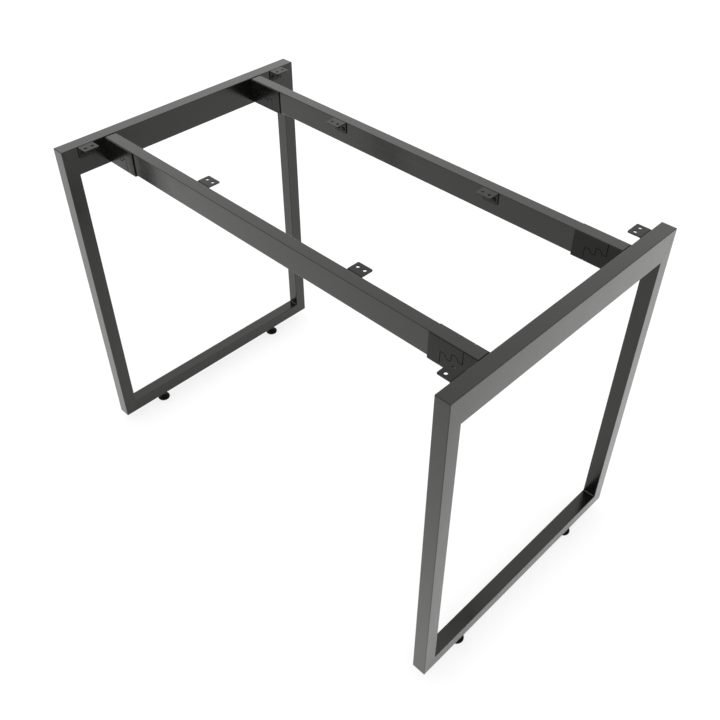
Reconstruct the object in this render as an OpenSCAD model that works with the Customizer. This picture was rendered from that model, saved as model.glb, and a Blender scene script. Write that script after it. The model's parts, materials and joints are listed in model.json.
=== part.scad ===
// Knock-down steel desk frame: two loop legs, two lift-off rails, tabletop tabs and levelling feet.
// The frame stands on z = 0, its length lies along X, and the origin is under its middle.

/* [Frame] */
// Overall length along X, over both legs
frame_l = 1037; // [900:1:1600]
// Overall depth along Y
frame_d = 616; // [580:1:800]
// Overall height, floor to the top of the legs
frame_h = 767.5; // [650:0.5:800]
// Height of the legs' undersides above the floor
leg_clearance = 25.5; // [24:0.5:30]

/* [Leg tubes] */
// Width of every leg tube along X
leg_tube_w = 30; // [28:1:40]
// Height of the top bar
top_bar_h = 60; // [58:1:80]
// Depth of the front and back posts along Y
post_d = 30; // [20:1:50]
// Height of the bottom bar
bottom_bar_h = 30; // [30:1:50]
// Outside radius of the tube corners
tube_corner_r = 1; // [0.5:0.1:2]
// Wall of every tube
tube_wall = 1.5; // [1:0.1:2]

/* [Rails] */
// Width of a rail along Y
rail_w = 25; // [20:1:40]
// Height of a rail
rail_h = 50; // [48:1:55]
// Distance from the middle of the frame to the middle of a rail, along Y
rail_y = 195; // [150:1:200]
// How far the rails and their tabs lie below the top of the legs
rail_drop = 1; // [0:0.5:3]
// Gap between the end of a rail and the leg
rail_end_gap = 2; // [1.8:0.1:4]

/* [Hook connectors] */
// Length of a connector, from the leg to the end of the hook
hook_l = 97; // [90:1:120]
// Thickness of the hook's sheet
hook_t = 2; // [1:0.1:3]
// How far the top of a connector lies below the top of the rail
hook_drop = 1; // [0:0.5:3]
// Depth of the hook below the rail
hook_below = 3.2; // [3.2:0.1:6]
// Distance from the leg to the first tooth
tooth_start = 27.5; // [20:0.5:30]
// Length of one tooth
tooth_l = 21.75; // [18:0.25:25]
// Length of the level edge at the top of a tooth, and again at its foot
tooth_flat = 8; // [5:0.5:8]
// Drop from the top of a tooth to its foot
tooth_drop = 7.5; // [4:0.5:10]
// Height of the lowest tooth's tip above the bottom of the connector
tooth_tip_h = 28; // [20:0.5:30]
// Gap along the toothed seam, so that the hook drops in freely
seam_gap = 1; // [0.4:0.1:1.2]
// Play between the rail and the socket's cheeks
play = 0.3; // [0.2:0.05:0.5]

/* [Tabletop tabs] */
// Length of a tab along its tube
tab_l = 34.5; // [30:0.5:50]
// Reach of a tab from its tube
tab_reach = 28; // [24:1:40]
// Height of the wing on the side of the tube
tab_wing_h = 26; // [24:1:40]
// Thickness of the tab's sheet
tab_t = 2; // [1.5:0.1:2.2]
// Outside radius of the tab's bend
tab_bend_r = 2.5; // [2.5:0.5:4]
// Radius of a tab's corners
tab_corner_r = 3; // [2:0.5:5]
// Distance between the two holes of a wing
tab_hole_spacing = 16; // [12:1:18]
// Diameter of the holes that take the tabletop screws
tab_hole_d = 6.5; // [4:0.5:7]
// Distance of those holes from the tube
tab_hole_reach = 17; // [14:1:18]
// Distance from the middle of the frame to the middle of a leg's tab, along Y
leg_tab_y = 255; // [240:1:255]
// Distance between the middles of a rail's two tabs
rail_tab_pitch = 402; // [200:1:450]
// Offset of a rail's pair of tabs from the middle of the frame, along X
rail_tab_shift = 5; // [0:1:10]

/* [Feet] */
// Distance from the middle of the frame to a foot, along Y
foot_y = 189; // [100:1:200]
// Diameter of the foot pad
pad_d = 30; // [24:1:34]
// Thickness of the foot pad
pad_h = 5; // [4:0.5:8]
// Diameter of the foot's stud
stud_d = 8; // [6:1:10]
// Length of the stud above the pad
stud_l = 33; // [30:1:34]

/* [Hidden] */
$fn = 48;
tiny = 0.01;

leg_h = frame_h - leg_clearance;
leg_mid_x = frame_l / 2 - leg_tube_w / 2;
leg_face_x = frame_l / 2 - leg_tube_w;
rail_top_z = frame_h - rail_drop;
rail_bottom_z = rail_top_z - rail_h;
rail_l = 2 * (leg_face_x - rail_end_gap);
hook_h = rail_h + hook_below - hook_drop;
hook_bottom_z = rail_bottom_z - hook_below;

// how far the socket's end plate stops short of the cheeks' top, so the gap above it stays open
end_plate_drop = 7;
// thinner than the gap at the rail's end, so the rail slides past it
end_plate_t = 1.4;

// a tab's own frame: the tube's face is the plane y = 0, the tab reaches along +Y, its top is z = 0
tab_screw_drop = 17;
tab_clearance_d = 5.5;
screw_d = 5;
screw_l = 8;
screw_head_d = 9.5;
screw_head_h = 2.6;
screw_head_r = 2;
screw_key_d = 3.5;
screw_key_depth = 1.4;

// a foot's own frame: its axis is x = y = 0 and the floor is z = 0
pad_edge_r = 1;
pad_boss_d = 16;
pad_boss_h = 3;
pad_socket_depth = 5;
insert_d = 12;
insert_l = 12;
insert_flange_d = 15;
insert_flange_h = 1;

// radial play between a screw, stud or insert and its hole
thread_play = 0.05;

steel = [0.27, 0.27, 0.265];
fittings_steel = [0.2, 0.2, 0.2];
black_steel = [0.12, 0.12, 0.12];
moulding = [0.06, 0.06, 0.06];

// Rectangle with round corners, centred on the origin
module round_rect(w, h, r) {
    square([w - 2 * r, h], center = true);
    square([w, h - 2 * r], center = true);
    for (x = [-1, 1], y = [-1, 1])
        translate([x * (w / 2 - r), y * (h / 2 - r)])
            circle(r);
}

// Section of a rectangular tube: round outside, sharp inside
module tube_section(w, h) {
    difference() {
        round_rect(w, h, tube_corner_r);
        square([w - 2 * tube_wall, h - 2 * tube_wall], center = true);
    }
}

// Places a child at one of the two legs: side is -1 for the left leg and 1 for the right.
// The child is drawn for the right leg, and the left leg's copy is its mirror image.
module at_side(side) {
    mirror([side < 0 ? 1 : 0, 0, 0])
        children();
}

// The same for the front (end = -1) and the back (end = 1) of the frame
module at_end(end) {
    mirror([0, end < 0 ? 1 : 0, 0])
        children();
}

// Block with a leg member's outline in the YZ plane, above the leg's underside, and wider than the leg.
// The corners of a leg are mitred from the loop's inner corner to its outer one, and rounded outside.
module mitre_block(outline) {
    translate([leg_mid_x, 0, leg_clearance])
        rotate([90, 0, 90])
            linear_extrude(2 * leg_tube_w, center = true)
                intersection() {
                    polygon(outline);
                    translate([0, leg_h / 2])
                        round_rect(frame_d, leg_h, tube_corner_r);
                }
}

// Holes in a tube's wall for the two screws of a tab, in the tab's own frame
module tab_screw_holes() {
    tab_screw_places()
        translate([0, -screw_l, 0])
            rotate([-90, 0, 0])
                cylinder(r = screw_d / 2 + thread_play, h = screw_l + tiny);
}

// Top bar, lying front to back
module top_bar(side) {
    half_d = frame_d / 2;
    color(steel)
        at_side(side)
            difference() {
                intersection() {
                    translate([leg_mid_x, 0, frame_h - top_bar_h / 2])
                        rotate([90, 0, 0])
                            linear_extrude(frame_d, center = true)
                                tube_section(leg_tube_w, top_bar_h);
                    mitre_block([
                        [-half_d, leg_h], [half_d, leg_h],
                        [half_d - post_d, leg_h - top_bar_h], [post_d - half_d, leg_h - top_bar_h]
                    ]);
                }
                for (end = [-1, 1])
                    at_end(end)
                        on_leg_face()
                            tab_screw_holes();
            }
}

// Front or back post
module post(side, end) {
    half_d = frame_d / 2;
    color(steel)
        at_side(side)
            at_end(end)
                intersection() {
                    translate([leg_mid_x, half_d - post_d / 2, leg_clearance])
                        linear_extrude(leg_h)
                            tube_section(leg_tube_w, post_d);
                    mitre_block([
                        [half_d, 0], [half_d, leg_h],
                        [half_d - post_d, leg_h - top_bar_h], [half_d - post_d, bottom_bar_h]
                    ]);
                }
}

// Bottom bar, with a hole for each foot's insert
module bottom_bar(side) {
    half_d = frame_d / 2;
    color(steel)
        at_side(side)
            difference() {
                intersection() {
                    translate([leg_mid_x, 0, leg_clearance + bottom_bar_h / 2])
                        rotate([90, 0, 0])
                            linear_extrude(frame_d, center = true)
                                tube_section(leg_tube_w, bottom_bar_h);
                    mitre_block([
                        [-half_d, 0], [half_d, 0],
                        [half_d - post_d, bottom_bar_h], [post_d - half_d, bottom_bar_h]
                    ]);
                }
                for (end = [-1, 1])
                    translate([leg_mid_x, end * foot_y, leg_clearance - tiny])
                        cylinder(r = insert_d / 2 + thread_play, h = tube_wall + 2 * tiny);
            }
}

// Place of a connector: x is the distance from the leg's face, y is across the rail from its middle
// and z is the height above the connector's bottom
module at_connector(side, end) {
    at_side(side)
        at_end(end)
            translate([leg_face_x, rail_y, hook_bottom_z])
                mirror([1, 0, 0])
                    children();
}

// Stands a flat outline up as a cheek: the outline's x and y become x and z
module cheek(inner_y, thickness) {
    for (face = [-1, 1])
        mirror([0, face < 0 ? 1 : 0, 0])
            translate([0, inner_y + thickness, 0])
                rotate([90, 0, 0])
                    linear_extrude(thickness)
                        children();
}

// Points along one tooth, towards the leg: a level top, a slope and a level foot. far_x is its distance
// from the leg at its tip, top_h its height there, and gap how far the points stand off the socket's edge.
// Half a gap along X is enough on the slope, which keeps the whole gap square to itself.
function tooth_edge(far_x, top_h, gap) = [
    [far_x + gap, top_h + gap],
    [far_x - tooth_flat - gap / 2, top_h + gap],
    [far_x - tooth_l + tooth_flat - gap / 2, top_h - tooth_drop + gap],
    [far_x - tooth_l + gap, top_h - tooth_drop + gap]
];

// Points of the whole seam between socket and hook, from the lower tooth's tip to the top.
// The tooth nearer the leg starts higher.
function seam(gap) = concat(
    tooth_edge(tooth_start + 2 * tooth_l, tooth_tip_h, gap),
    tooth_edge(tooth_start + tooth_l, tooth_tip_h + tooth_drop, gap),
    [[tooth_start + gap, hook_h]]
);

// The leg's half of a connector: two toothed cheeks, a web under the rail and an end plate on the leg
module socket(side, end) {
    cheek_inner = rail_w / 2 + play;
    cheek_t = hook_t - play;
    web_l = tooth_start + 2 * tooth_l;
    color(fittings_steel)
        at_connector(side, end) {
            cheek(cheek_inner, cheek_t)
                polygon(concat([[0, hook_h], [0, 0], [web_l, 0]], seam(0)));
            translate([0, -cheek_inner - tiny, 0])
                cube([web_l, 2 * (cheek_inner + tiny), hook_t]);
            translate([0, -cheek_inner - tiny, 0])
                cube([end_plate_t, 2 * (cheek_inner + tiny), hook_h - end_plate_drop]);
        }
}

// The rail's half of a connector: two toothed cheeks on the rail's sides and a web under it
module hook(side, end) {
    web_start = tooth_start + 2 * tooth_l + seam_gap;
    color(fittings_steel)
        at_connector(side, end) {
            cheek(rail_w / 2, hook_t)
                polygon(concat([[hook_l, hook_h], [hook_l, 0], [web_start, 0]], seam(seam_gap)));
            translate([web_start, -rail_w / 2 - tiny, 0])
                cube([hook_l - web_start, rail_w + 2 * tiny, hook_t]);
        }
}

// Rail tube, with holes in its inner face for its tabs' screws
module rail_tube(end) {
    color(steel)
        difference() {
            translate([0, end * rail_y, rail_top_z - rail_h / 2])
                rotate([90, 0, 90])
                    linear_extrude(rail_l, center = true)
                        tube_section(rail_w, rail_h);
            for (place = [-1, 1])
                on_rail_face(place, end)
                    tab_screw_holes();
        }
}

// Puts a tab's frame on the inner face of a leg's top bar
module on_leg_face() {
    translate([leg_face_x, leg_tab_y, frame_h])
        rotate([0, 0, 90])
            children();
}

// Puts a tab's frame on the inner face of a rail: place is -1 for its left tab and 1 for its right
module on_rail_face(place, end) {
    translate([rail_tab_shift + place * rail_tab_pitch / 2, 0, 0])
        at_end(end)
            translate([0, rail_y - rail_w / 2, rail_top_z])
                rotate([0, 0, 180])
                    children();
}

// Places of a tab's two screws, on the outside of its side wing
module tab_screw_places() {
    for (x = [-1, 1])
        translate([x * tab_hole_spacing / 2, 0, -tab_screw_drop])
            children();
}

// Outline of a wing: square where it is bent, round at its two free corners
module wing_outline(reach) {
    translate([-tab_l / 2, 0])
        square([tab_l, reach - tab_corner_r]);
    translate([tab_corner_r - tab_l / 2, 0])
        square([tab_l - 2 * tab_corner_r, reach]);
    for (x = [-1, 1])
        translate([x * (tab_l / 2 - tab_corner_r), reach - tab_corner_r])
            circle(tab_corner_r);
}

// Side view of a tab in its own YZ plane: the top wing along +Y, the bend, and the side wing along -Z
module tab_profile() {
    translate([tab_bend_r, -tab_t])
        square([tab_reach - tab_bend_r, tab_t]);
    translate([0, -tab_wing_h])
        square([tab_t, tab_wing_h - tab_bend_r]);
    intersection() {
        translate([0, -tab_bend_r])
            square(tab_bend_r);
        translate([tab_bend_r, -tab_bend_r])
            difference() {
                circle(tab_bend_r);
                circle(tab_bend_r - tab_t);
            }
    }
}

// Tabletop tab: a bent L bracket in its own frame
module tab() {
    difference() {
        intersection() {
            rotate([90, 0, 90])
                linear_extrude(tab_l, center = true)
                    tab_profile();
            translate([0, 0, -tab_wing_h])
                linear_extrude(tab_wing_h)
                    wing_outline(tab_reach);
            translate([0, tab_reach, 0])
                rotate([90, 0, 0])
                    linear_extrude(tab_reach)
                        mirror([0, 1])
                            wing_outline(tab_wing_h);
        }
        for (x = [-1, 1])
            translate([x * tab_hole_spacing / 2, tab_hole_reach, -tab_t - tiny])
                cylinder(d = tab_hole_d, h = tab_t + 2 * tiny);
        tab_screw_places()
            translate([0, -tiny, 0])
                rotate([-90, 0, 0])
                    cylinder(d = tab_clearance_d, h = tab_t + 2 * tiny);
    }
}

// Disc that stands on z = 0, with its upper edge rounded to the radius r
module round_edged_disc(d, h, r) {
    rotate_extrude()
        polygon(concat(
            [[0, h], [0, 0], [d / 2, 0]],
            [for (a = [0:15:90]) [d / 2 - r + r * cos(a), h - r + r * sin(a)]]
        ));
}

// Button-head screw: its shank lies along -Y and its head stands on the side wing
module button_screw() {
    translate([0, tab_t, 0])
        rotate([-90, 0, 0])
            difference() {
                union() {
                    translate([0, 0, -screw_l])
                        cylinder(d = screw_d, h = screw_l + tiny);
                    round_edged_disc(screw_head_d, screw_head_h, screw_head_r);
                }
                translate([0, 0, screw_head_h - screw_key_depth])
                    cylinder(d = screw_key_d, h = screw_key_depth + tiny, $fn = 6);
            }
}

module leg_tab(side, end) {
    color(fittings_steel)
        at_side(side)
            at_end(end)
                on_leg_face()
                    tab();
}

module rail_tab(place, end) {
    color(fittings_steel)
        on_rail_face(place, end)
            tab();
}

// The four screws of a leg's two tabs
module leg_screws(side) {
    color(black_steel)
        at_side(side)
            for (end = [-1, 1])
                at_end(end)
                    on_leg_face()
                        tab_screw_places()
                            button_screw();
}

// The four screws of a rail's two tabs
module rail_screws(end) {
    color(black_steel)
        for (place = [-1, 1])
            on_rail_face(place, end)
                tab_screw_places()
                    button_screw();
}

module at_foot(side, end) {
    translate([side * leg_mid_x, end * foot_y, 0])
        children();
}

// Threaded insert in the underside of a bottom bar
module insert(side, end) {
    color(black_steel)
        at_foot(side, end)
            difference() {
                union() {
                    translate([0, 0, leg_clearance - insert_flange_h])
                        cylinder(d = insert_flange_d, h = insert_flange_h);
                    translate([0, 0, leg_clearance - tiny])
                        cylinder(d = insert_d, h = insert_l + tiny);
                }
                translate([0, 0, leg_clearance - insert_flange_h - tiny])
                    cylinder(r = stud_d / 2 + thread_play, h = insert_l + insert_flange_h + 3 * tiny);
            }
}

// Foot pad: a flat disc with a soft upper edge and a low boss that holds the stud
module pad(side, end) {
    color(moulding)
        at_foot(side, end)
            difference() {
                union() {
                    round_edged_disc(pad_d, pad_h, pad_edge_r);
                    translate([0, 0, pad_h - tiny])
                        cylinder(d = pad_boss_d, h = pad_boss_h + tiny);
                }
                translate([0, 0, pad_h + pad_boss_h - pad_socket_depth])
                    cylinder(r = stud_d / 2 + thread_play, h = pad_socket_depth + tiny);
            }
}

// Foot stud, drawn at the diameter of its thread
module stud(side, end) {
    bottom_z = pad_h + pad_boss_h - pad_socket_depth;
    color(black_steel)
        at_foot(side, end)
            translate([0, 0, bottom_z])
                cylinder(d = stud_d, h = pad_h + stud_l - bottom_z);
}

top_bar(-1);  // left_top_bar
post(-1, -1);  // left_front_post
post(-1, 1);  // left_back_post
bottom_bar(-1);  // left_bottom_bar
top_bar(1);  // right_top_bar
post(1, -1);  // right_front_post
post(1, 1);  // right_back_post
bottom_bar(1);  // right_bottom_bar
socket(-1, -1);  // front_left_socket
socket(-1, 1);  // back_left_socket
socket(1, -1);  // front_right_socket
socket(1, 1);  // back_right_socket
leg_tab(-1, -1);  // left_front_tab
leg_tab(-1, 1);  // left_back_tab
leg_tab(1, -1);  // right_front_tab
leg_tab(1, 1);  // right_back_tab
leg_screws(-1);  // left_tab_screws
leg_screws(1);  // right_tab_screws
insert(-1, -1);  // left_front_insert
insert(-1, 1);  // left_back_insert
insert(1, -1);  // right_front_insert
insert(1, 1);  // right_back_insert
rail_tube(-1);  // front_rail_tube
hook(-1, -1);  // front_left_hook
hook(1, -1);  // front_right_hook
rail_tab(-1, -1);  // front_rail_left_tab
rail_tab(1, -1);  // front_rail_right_tab
rail_screws(-1);  // front_rail_screws
rail_tube(1);  // back_rail_tube
hook(-1, 1);  // back_left_hook
hook(1, 1);  // back_right_hook
rail_tab(-1, 1);  // back_rail_left_tab
rail_tab(1, 1);  // back_rail_right_tab
rail_screws(1);  // back_rail_screws
pad(-1, -1);  // left_front_pad
stud(-1, -1);  // left_front_stud
pad(-1, 1);  // left_back_pad
stud(-1, 1);  // left_back_stud
pad(1, -1);  // right_front_pad
stud(1, -1);  // right_front_stud
pad(1, 1);  // right_back_pad
stud(1, 1);  // right_back_stud
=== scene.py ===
"""Looks for the knock-down desk frame: coated tubes, hook connectors, welds, tabs, screws and feet."""

import json
import math

import bmesh
import bpy
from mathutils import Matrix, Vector


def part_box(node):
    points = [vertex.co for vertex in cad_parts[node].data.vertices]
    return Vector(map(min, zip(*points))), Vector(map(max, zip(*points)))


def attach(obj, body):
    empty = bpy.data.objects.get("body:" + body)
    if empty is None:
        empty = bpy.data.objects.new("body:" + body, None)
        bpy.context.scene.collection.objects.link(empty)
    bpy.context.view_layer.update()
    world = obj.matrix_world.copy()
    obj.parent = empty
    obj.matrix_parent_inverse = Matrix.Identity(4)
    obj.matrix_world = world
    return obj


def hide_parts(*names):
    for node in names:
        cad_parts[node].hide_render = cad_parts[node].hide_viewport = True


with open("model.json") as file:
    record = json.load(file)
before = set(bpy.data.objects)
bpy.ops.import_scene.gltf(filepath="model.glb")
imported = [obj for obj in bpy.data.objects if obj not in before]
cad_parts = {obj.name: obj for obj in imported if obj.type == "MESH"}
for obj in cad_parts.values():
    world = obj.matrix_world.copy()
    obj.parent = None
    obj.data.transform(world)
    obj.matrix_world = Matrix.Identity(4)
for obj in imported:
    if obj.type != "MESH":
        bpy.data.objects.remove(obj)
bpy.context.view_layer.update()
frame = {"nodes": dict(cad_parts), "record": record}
nodes = frame["nodes"]

SIDES = ("left", "right")
ENDS = ("front", "back")

MM = 0.001


# ---------------------------------------------------------------- camera, light and floor

# the camera's place in metres, its turn about X, Y and Z in degrees, its lens and sensor in mm, and how far
# it sees in metres
CAMERA_PLACE = (1.0227, -0.9991, 1.6123)
CAMERA_TURN = (48.038, 0.0, 44.519)
CAMERA_LENS = 43.33
CAMERA_SENSOR = 36.0
CAMERA_REACH = 100.0

# the room's colour, its brightness at the horizon and higher up, and the sine of the elevation from which
# it has its full brightness
ROOM_COLOR = (1.0, 1.0, 1.0, 1.0)
HORIZON_BRIGHTNESS = 1.02
ROOM_BRIGHTNESS = 1.96
SINE_FULL_BRIGHTNESS = 0.36

# The floor lights the frame and mirrors in it as white paint. Outside its middle circle the paint is darker:
# a painted falloff of light, since the room's own light is even. Where it is looked at directly, most of its
# white is its own glow, which stands in for the light on a lit studio table, so the frame's shadows on it are
# faint. Radii are in metres.
FLOOR_RADIUS = 30.0
FLOOR_SEGMENTS = 64
FLOOR_WHITE = (0.97, 0.97, 0.965, 1.0)
FLOOR_PAINTED_DIM = (0.5, 0.5, 0.5, 1.0)
FLOOR_PAINTED_LIT_RADIUS = 1.8
FLOOR_PAINTED_DIM_RADIUS = 3.6
FLOOR_SHADE = (0.2, 0.2, 0.202, 1.0)
FLOOR_GLOW = 0.69


def add_node(tree, kind, settings=None, inputs=None):
    """Adds a shader node, with its settings and the values of its unlinked sockets."""
    made = tree.nodes.new(kind)
    for key, value in (settings or {}).items():
        setattr(made, key, value)
    for key, value in (inputs or {}).items():
        made.inputs[key].default_value = value
    return made


def add_ramp(tree, source, start, end, low=0.0, high=1.0, smooth=False):
    """Turns a value that goes from start to end into one that goes from low to high, and stays in it."""
    settings = {"interpolation_type": "SMOOTHSTEP"} if smooth else None
    ramp = add_node(tree, "ShaderNodeMapRange", settings, {
        "From Min": start,
        "From Max": end,
        "To Min": low,
        "To Max": high,
    })
    tree.links.new(source, ramp.inputs["Value"])
    return ramp.outputs["Result"]


def add_color_mix(tree, factor, second, first=None):
    """Mixes two colours. Without a first one, the caller links it to the node's input A."""
    mix = add_node(tree, "ShaderNodeMix", {"data_type": "RGBA"})
    if first is not None:
        mix.inputs["A"].default_value = first
    mix.inputs["B"].default_value = second
    tree.links.new(factor, mix.inputs["Factor"])
    return mix


def new_material(name):
    """A new node material and its node tree."""
    material = bpy.data.materials.new(name)
    material.use_nodes = True
    return material, material.node_tree


def make_camera():
    """The camera, which looks down on the frame from its right front corner."""
    data = bpy.data.cameras.new("camera")
    data.lens = CAMERA_LENS
    data.sensor_width = CAMERA_SENSOR
    data.clip_end = CAMERA_REACH
    camera = bpy.data.objects.new("camera", data)
    camera.location = CAMERA_PLACE
    camera.rotation_euler = [math.radians(angle) for angle in CAMERA_TURN]
    bpy.context.scene.collection.objects.link(camera)
    bpy.context.scene.camera = camera


def make_room():
    """A white room of even light, as in a product studio, that dims towards the horizon."""
    scene = bpy.context.scene
    scene.view_settings.view_transform = "Standard"
    world = bpy.data.worlds.new("room")
    world.use_nodes = True
    scene.world = world
    tree = world.node_tree
    background = tree.nodes["Background"]
    background.inputs["Color"].default_value = ROOM_COLOR
    direction = add_node(tree, "ShaderNodeTexCoord")
    split = add_node(tree, "ShaderNodeSeparateXYZ")
    tree.links.new(direction.outputs["Generated"], split.inputs[0])
    strength = add_ramp(
        tree, split.outputs["Z"], 0.0, SINE_FULL_BRIGHTNESS, HORIZON_BRIGHTNESS, ROOM_BRIGHTNESS, smooth=True)
    tree.links.new(strength, background.inputs["Strength"])


def make_floor_paint():
    """White paint for the frame's surroundings, and a glowing one where the floor is looked at directly."""
    material, tree = new_material("floor_paint")
    tree.nodes.remove(tree.nodes["Principled BSDF"])
    place = add_node(tree, "ShaderNodeTexCoord")
    distance = add_node(tree, "ShaderNodeVectorMath", {"operation": "LENGTH"})
    tree.links.new(place.outputs["Object"], distance.inputs[0])
    # painted falloff of light: the floor's paint darkens from its painted lit middle outwards, under the
    # room's even light
    painted_dimming = add_ramp(tree, distance.outputs["Value"], FLOOR_PAINTED_LIT_RADIUS, FLOOR_PAINTED_DIM_RADIUS, smooth=True)
    paint_color = add_color_mix(tree, painted_dimming, FLOOR_PAINTED_DIM, FLOOR_WHITE)
    white = add_node(tree, "ShaderNodeBsdfDiffuse")
    tree.links.new(paint_color.outputs["Result"], white.inputs["Color"])
    shade = add_node(tree, "ShaderNodeBsdfDiffuse", inputs={"Color": FLOOR_SHADE})
    glow = add_node(tree, "ShaderNodeEmission", inputs={"Strength": FLOOR_GLOW})
    seen = add_node(tree, "ShaderNodeAddShader")
    tree.links.new(shade.outputs[0], seen.inputs[0])
    tree.links.new(glow.outputs[0], seen.inputs[1])
    path = add_node(tree, "ShaderNodeLightPath")
    choice = add_node(tree, "ShaderNodeMixShader")
    tree.links.new(path.outputs["Is Camera Ray"], choice.inputs[0])
    tree.links.new(white.outputs[0], choice.inputs[1])
    tree.links.new(seen.outputs[0], choice.inputs[2])
    tree.links.new(choice.outputs[0], tree.nodes["Material Output"].inputs["Surface"])
    return material


def make_floor():
    """A wide round floor at z = 0, which is part of the stage."""
    mesh = bpy.data.meshes.new("floor")
    shape = bmesh.new()
    bmesh.ops.create_circle(shape, cap_ends=True, segments=FLOOR_SEGMENTS, radius=FLOOR_RADIUS)
    shape.to_mesh(mesh)
    shape.free()
    floor = bpy.data.objects.new("floor", mesh)
    bpy.context.scene.collection.objects.link(floor)
    mesh.materials.append(make_floor_paint())


make_camera()
make_room()
make_floor()


# ---------------------------------------------------------------- materials

# the slightly warm green of the light that the coat throws back
SHEEN_TINT = (0.97, 1.0, 0.93, 1.0)

# Noise in every finish, as its scale in features per metre and its levels of detail: the clouds in the
# coat's colour, the patches in which its edges are rubbed and the smudges in its roughness
CLOUD_NOISE = (11.0, 4.0)
PATCH_NOISE = (38.0, 5.0)
SMUDGE_NOISE = (26.0, 6.0)
RELIEF_DETAIL = 2.0

# cosine of the angle between a face's normal and the averaged one, where rubbing starts and where it is full
EDGE_COSINES = (0.985, 0.90)
EDGE_SAMPLES = 8
# patch noise at which rubbing starts and is strongest, and how much of the coat it takes there
RUBBED_FROM = 0.45
RUBBED_TO = 0.75
RUBBED_MOST = 0.8
# smudge noise at which the roughness is lowest and highest
SMUDGE_FROM = 0.3
SMUDGE_TO = 0.7


def finish_material(name, dark, light, worn, gloss, roughness, edge_radius, relief_size, relief_depth):
    """A procedural finish, seen in the object's own coordinates.

    dark and light are the greys of its cloudy colour and worn is the grey of its rubbed edges. gloss is the
    shader's specular level, roughness its lowest and highest value, and edge_radius how far the coat rounds
    an edge. relief_size is the width of one grain or ripple of the surface and relief_depth its height.
    All lengths are in metres.
    """
    material, tree = new_material(name)
    shader = tree.nodes["Principled BSDF"]
    shader.inputs["Specular IOR Level"].default_value = gloss
    shader.inputs["Specular Tint"].default_value = SHEEN_TINT

    place = add_node(tree, "ShaderNodeTexCoord")

    def noise(scale, detail):
        made = add_node(tree, "ShaderNodeTexNoise", inputs={"Scale": scale, "Detail": detail})
        tree.links.new(place.outputs["Object"], made.inputs["Vector"])
        return made.outputs["Fac"]

    # cloudy colour, as the coat's thickness varies along a tube
    coat = add_color_mix(tree, noise(*CLOUD_NOISE), (*light, 1.0), (*dark, 1.0))

    # edges: where a normal averaged over a small bevel turns away from the face's own
    bevel = add_node(tree, "ShaderNodeBevel", {"samples": EDGE_SAMPLES}, {"Radius": edge_radius})
    geometry = add_node(tree, "ShaderNodeNewGeometry")
    turn = add_node(tree, "ShaderNodeVectorMath", {"operation": "DOT_PRODUCT"})
    tree.links.new(bevel.outputs["Normal"], turn.inputs[0])
    tree.links.new(geometry.outputs["Normal"], turn.inputs[1])
    edge = add_ramp(tree, turn.outputs["Value"], *EDGE_COSINES)
    patches = add_ramp(tree, noise(*PATCH_NOISE), RUBBED_FROM, RUBBED_TO, high=RUBBED_MOST)
    wear = add_node(tree, "ShaderNodeMath", {"operation": "MULTIPLY", "use_clamp": True})
    tree.links.new(edge, wear.inputs[0])
    tree.links.new(patches, wear.inputs[1])
    color = add_color_mix(tree, wear.outputs["Value"], (*worn, 1.0))
    tree.links.new(coat.outputs["Result"], color.inputs["A"])
    tree.links.new(color.outputs["Result"], shader.inputs["Base Color"])

    # roughness: smudges, as from handling
    smudges = add_ramp(tree, noise(*SMUDGE_NOISE), SMUDGE_FROM, SMUDGE_TO, *roughness)
    tree.links.new(smudges, shader.inputs["Roughness"])

    # relief: the orange peel of a baked coat, or the grain of a moulding
    relief = add_node(tree, "ShaderNodeBump", inputs={"Strength": 1.0, "Distance": relief_depth})
    tree.links.new(noise(1.0 / relief_size, RELIEF_DETAIL), relief.inputs["Height"])
    tree.links.new(bevel.outputs["Normal"], relief.inputs["Normal"])
    tree.links.new(relief.outputs["Normal"], shader.inputs["Normal"])
    return material


# the coat that the connectors and the tabs share, apart from its gloss
FITTINGS_COAT = {
    "dark": (0.0020, 0.0020, 0.0019),
    "light": (0.0036, 0.0036, 0.0035),
    "worn": (0.010, 0.010, 0.010),
    "roughness": (0.20, 0.27),
    "edge_radius": 0.8 * MM,
    "relief_size": 1.4 * MM,
    "relief_depth": 0.012 * MM,
}

# the finish of each material slot of the record, and the tabs' own
materials = {
    "frame_steel": finish_material(
        "frame_coat",
        dark=(0.0009, 0.0010, 0.0009),
        light=(0.0019, 0.0020, 0.0018),
        worn=(0.008, 0.008, 0.008),
        gloss=0.30,
        roughness=(0.18, 0.25),
        edge_radius=1.6 * MM,
        relief_size=1.6 * MM,
        relief_depth=0.012 * MM,
    ),
    "fittings_steel": finish_material("fittings_coat", gloss=0.12, **FITTINGS_COAT),
    "tab": finish_material("tab_coat", gloss=0.15, **FITTINGS_COAT),
    "black_steel": finish_material(
        "black_oxide",
        dark=(0.003, 0.003, 0.003),
        light=(0.007, 0.007, 0.0065),
        worn=(0.02, 0.02, 0.02),
        gloss=0.15,
        roughness=(0.30, 0.42),
        edge_radius=0.4 * MM,
        relief_size=0.7 * MM,
        relief_depth=0.004 * MM,
    ),
    "moulding": finish_material(
        "moulded_black",
        dark=(0.0015, 0.0015, 0.0015),
        light=(0.003, 0.003, 0.003),
        worn=(0.006, 0.006, 0.006),
        gloss=0.08,
        roughness=(0.42, 0.56),
        edge_radius=0.6 * MM,
        relief_size=0.5 * MM,
        relief_depth=0.010 * MM,
    ),
}


def paint(piece, finish):
    """Gives a piece one of the materials in place of any that it has."""
    piece.data.materials.clear()
    piece.data.materials.append(materials[finish])


# ---------------------------------------------------------------- the CAD nodes

# how wide the press, the saw and the coat leave the edges of the small steel pieces
SOFT_EDGE = 0.2 * MM
SOFT_EDGE_SEGMENTS = 2
SOFTENED = ("_socket", "_hook", "_tab", "_insert")
# points nearer than this are one point
SAME_POINT = 0.002 * MM
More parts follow.
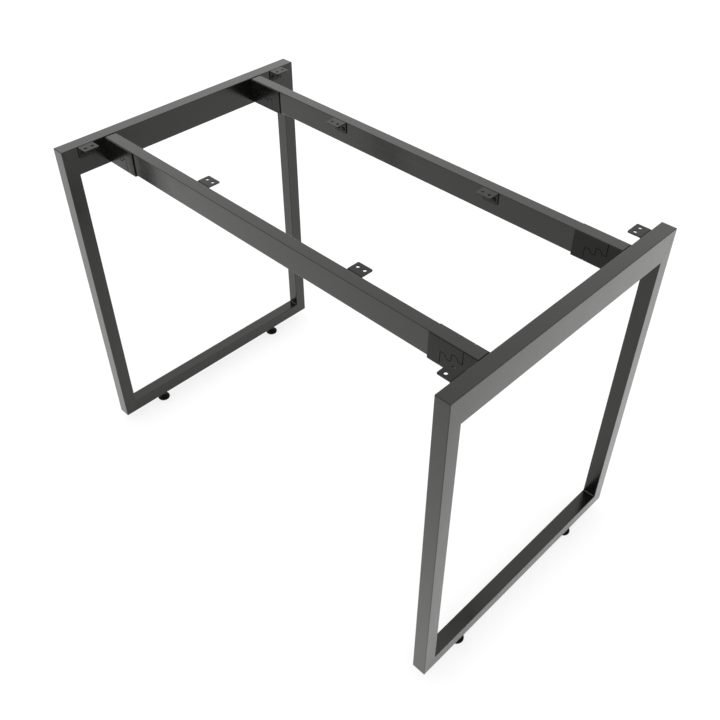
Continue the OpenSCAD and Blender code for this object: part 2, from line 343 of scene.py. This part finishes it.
# angles in degrees: faces that turn less are one flat face, and those that turn more meet in an edge
FLAT_ANGLE = 0.5
EDGE_ANGLE = 40.0


def soften_edges(piece):
    """Rounds a CAD node's sharp edges with modifiers, which leave its own mesh as it is."""
    joined = piece.modifiers.new("joined", "WELD")
    joined.merge_threshold = SAME_POINT
    flats = piece.modifiers.new("flats", "DECIMATE")
    flats.decimate_type = "DISSOLVE"
    flats.angle_limit = math.radians(FLAT_ANGLE)
    edges = piece.modifiers.new("edges", "BEVEL")
    edges.width = SOFT_EDGE
    edges.segments = SOFT_EDGE_SEGMENTS
    edges.limit_method = "ANGLE"
    edges.angle_limit = math.radians(EDGE_ANGLE)
    normals = piece.modifiers.new("normals", "WEIGHTED_NORMAL")
    normals.keep_sharp = False


for part in frame["record"]["subparts"]:
    name = part["node"]
    # the tabs share the connectors' slot, and their coat is glossier
    paint(nodes[name], "tab" if name.endswith("_tab") else part["material_slot"])
    if name.endswith(SOFTENED):
        soften_edges(nodes[name])


# ---------------------------------------------------------------- pieces made here

def piece_from_rings(name, rings, body, slot, sharp_angle=35.0):
    """A closed piece through rings of points, which all have the same number of points, with flat ends.

    An edge is sharp where its two faces turn by more than sharp_angle, in degrees.
    """
    mesh = bpy.data.meshes.new(name)
    count = len(rings[0])
    points = [point for ring in rings for point in ring]
    faces = []
    for row in range(len(rings) - 1):
        for step in range(count):
            after = (step + 1) % count
            low = row * count
            high = low + count
            faces.append((low + step, low + after, high + after, high + step))
    faces.append(tuple(reversed(range(count))))
    faces.append(tuple(range(len(points) - count, len(points))))
    mesh.from_pydata(points, [], faces)
    shape = bmesh.new()
    shape.from_mesh(mesh)
    bmesh.ops.recalc_face_normals(shape, faces=shape.faces)
    shape.to_mesh(mesh)
    shape.free()
    mesh.polygons.foreach_set("use_smooth", [True] * len(mesh.polygons))
    mesh.set_sharp_from_angle(angle=math.radians(sharp_angle))
    piece = bpy.data.objects.new(name, mesh)
    bpy.context.scene.collection.objects.link(piece)
    paint(piece, slot)
    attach(piece, body)
    return piece


def circle(center, z, radii):
    """A level ring about center, with one radius for each of its points."""
    count = len(radii)
    return [
        (
            center[0] + radius * math.cos(math.tau * step / count),
            center[1] + radius * math.sin(math.tau * step / count),
            z,
        )
        for step, radius in enumerate(radii)
    ]


def middle_of(node):
    """The middle of a node's box at rest."""
    low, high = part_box(node)
    return [(a + b) / 2 for a, b in zip(low, high)]


# A foot pad's half section, from its hollow underside round the rim and the boss to the stud's socket:
# radius and height in mm. The small notch in the rim is the mould's parting line.
PAD_SECTION = (
    (11.4, 0.9), (11.9, 0.7), (12.3, 0.0), (13.7, 0.0), (14.4, 0.2), (14.8, 0.6), (15.0, 1.2), (15.0, 2.4),
    (14.88, 2.5), (15.0, 2.6), (15.0, 3.5), (14.85, 4.1), (14.45, 4.6), (13.8, 4.9), (13.0, 5.0), (8.8, 5.0),
    (8.3, 5.15), (8.05, 5.45), (8.0, 5.9), (8.0, 7.3), (7.8, 7.75), (7.3, 8.0), (4.5, 8.0), (4.1, 7.6),
    (4.1, 3.1),
)
PAD_SEGMENTS = 64

STUD_RADIUS = 3.98 * MM
STUD_SEGMENTS = 40
# the stud's plain shank goes this far up from its lower end
SHANK_LENGTH = 4.5 * MM
THREAD_PITCH = 1.25 * MM
THREAD_DEPTH = 0.6 * MM
# rings of points for one turn of the thread
THREAD_ROWS = 8
STUD_CHAMFER = 1.3 * THREAD_DEPTH
# degrees: more than the thread's flanks turn, so they shade as smooth
STUD_SHARP_ANGLE = 60.0


def make_pad(foot):
    """A foot's turned pad, with its soft rim and boss."""
    node = foot + "_pad"
    center = middle_of(node)
    rings = [circle(center, z * MM, [radius * MM] * PAD_SEGMENTS) for radius, z in PAD_SECTION]
    pad = piece_from_rings(foot + "_moulded_pad", rings, foot + "_foot", "moulding")
    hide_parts(node)


def make_stud(foot):
    """The foot's stud with its rolled thread, and a chamfer at its top."""
    node = foot + "_stud"
    low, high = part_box(node)
    center = middle_of(node)
    length = high[2] - low[2]
    rows = round(length / THREAD_PITCH * THREAD_ROWS)
    rings = []
    for row in range(rows + 1):
        z = low[2] + length * row / rows
        # the thread reaches its full depth over one turn above the shank
        run_in = min(1.0, max(0.0, (z - low[2] - SHANK_LENGTH) / THREAD_PITCH))
        chamfer = max(0.0, STUD_CHAMFER - (high[2] - z))
        radii = []
        for step in range(STUD_SEGMENTS):
            phase = math.tau * (z / THREAD_PITCH - step / STUD_SEGMENTS)
            groove = THREAD_DEPTH * run_in * (0.5 - 0.5 * math.cos(phase))
            radii.append(STUD_RADIUS - max(groove, chamfer))
        rings.append(circle(center, z, radii))
    stud = piece_from_rings(foot + "_threaded_stud", rings, foot + "_foot", "black_steel", STUD_SHARP_ANGLE)
    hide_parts(node)


# distance between a weld's rings of points, and the steps across its face
WELD_STEP = 0.4 * MM
WELD_ARC = 6
# length of one ripple, and how much it takes from the weld's size
WELD_RIPPLE = 2.2 * MM
RIPPLE_SHARE = 0.08
# how much its face is pulled inwards in its middle
HOLLOW_SHARE = 0.12
# how deep the weld is sunk into both walls, so no gap shows behind it
WELD_SUNK = 0.2 * MM
# length that the taper is ahead of the weld's ends, so that they aren't points
BLUNT_END = 0.3 * MM


def make_weld(name, start, end, wall_a, wall_b, size):
    """A fillet weld on the straight corner from start to end.

    wall_a and wall_b are the directions along the two walls away from the corner, and size is the weld's
    leg on each of them. Its ripples are one weld pool apart, and it tapers at both ends.
    """
    start, end = Vector(start), Vector(end)
    wall_a, wall_b = Vector(wall_a), Vector(wall_b)
    length = (end - start).length
    sunk = (wall_a + wall_b) * -WELD_SUNK
    rows = round(length / WELD_STEP)
    rings = []
    for row in range(rows + 1):
        along = length * row / rows
        taper = math.sqrt(min(1.0, (min(along, length - along) + BLUNT_END) / size))
        ripple = 1.0 - RIPPLE_SHARE * abs(math.sin(math.pi * along / WELD_RIPPLE))
        leg = size * taper * ripple
        corner = start + (end - start) * row / rows + sunk
        ring = [corner]
        for step in range(WELD_ARC + 1):
            angle = math.pi / 2 * step / WELD_ARC
            # a straight chord between the legs, slightly hollow in its middle
            chord = leg / (math.cos(angle) + math.sin(angle))
            reach = chord * (1.0 - HOLLOW_SHARE * math.sin(2 * angle))
            ring.append(corner + (wall_a * math.cos(angle) + wall_b * math.sin(angle)) * reach)
        rings.append([tuple(point) for point in ring])
    piece_from_rings(name, rings, "legs", "frame_steel")


# leg lengths of the welds in a loop's inner corners and under a socket, and how far they stop short of
# the edges of the tube or sheet
CORNER_WELD = 3.0 * MM
SOCKET_WELD = 2.0 * MM
WELD_INSET = 1.2 * MM


def make_leg_welds(side):
    """Fillet welds in the four inner corners of a leg's loop."""
    top_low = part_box(side + "_top_bar")[0]
    bottom_low, bottom_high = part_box(side + "_bottom_bar")
    x_start = bottom_low[0] + WELD_INSET
    x_end = bottom_high[0] - WELD_INSET
    for end in ENDS:
        post_low, post_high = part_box(side + "_" + end + "_post")
        inner_y = post_high[1] if end == "front" else post_low[1]
        inward = 1 if end == "front" else -1
        for level, z, up in (("top", top_low[2], -1), ("bottom", bottom_high[2], 1)):
            make_weld(
                f"{side}_{end}_{level}_corner_weld", (x_start, inner_y, z), (x_end, inner_y, z),
                (0, inward, 0), (0, 0, up), CORNER_WELD)


def make_socket_weld(side, end):
    """Fillet weld under a socket, where its web meets the leg."""
    low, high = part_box(end + "_" + side + "_socket")
    face_x = high[0] if side == "right" else low[0]
    inward = -1 if side == "right" else 1
    start = (face_x, low[1] + WELD_INSET, low[2])
    finish = (face_x, high[1] - WELD_INSET, low[2])
    make_weld(f"{end}_{side}_socket_weld", start, finish, (inward, 0, 0), (0, 0, -1), SOCKET_WELD)


for side in SIDES:
    make_leg_welds(side)
    for end in ENDS:
        foot = side + "_" + end
        make_socket_weld(side, end)
        make_pad(foot)
        make_stud(foot)
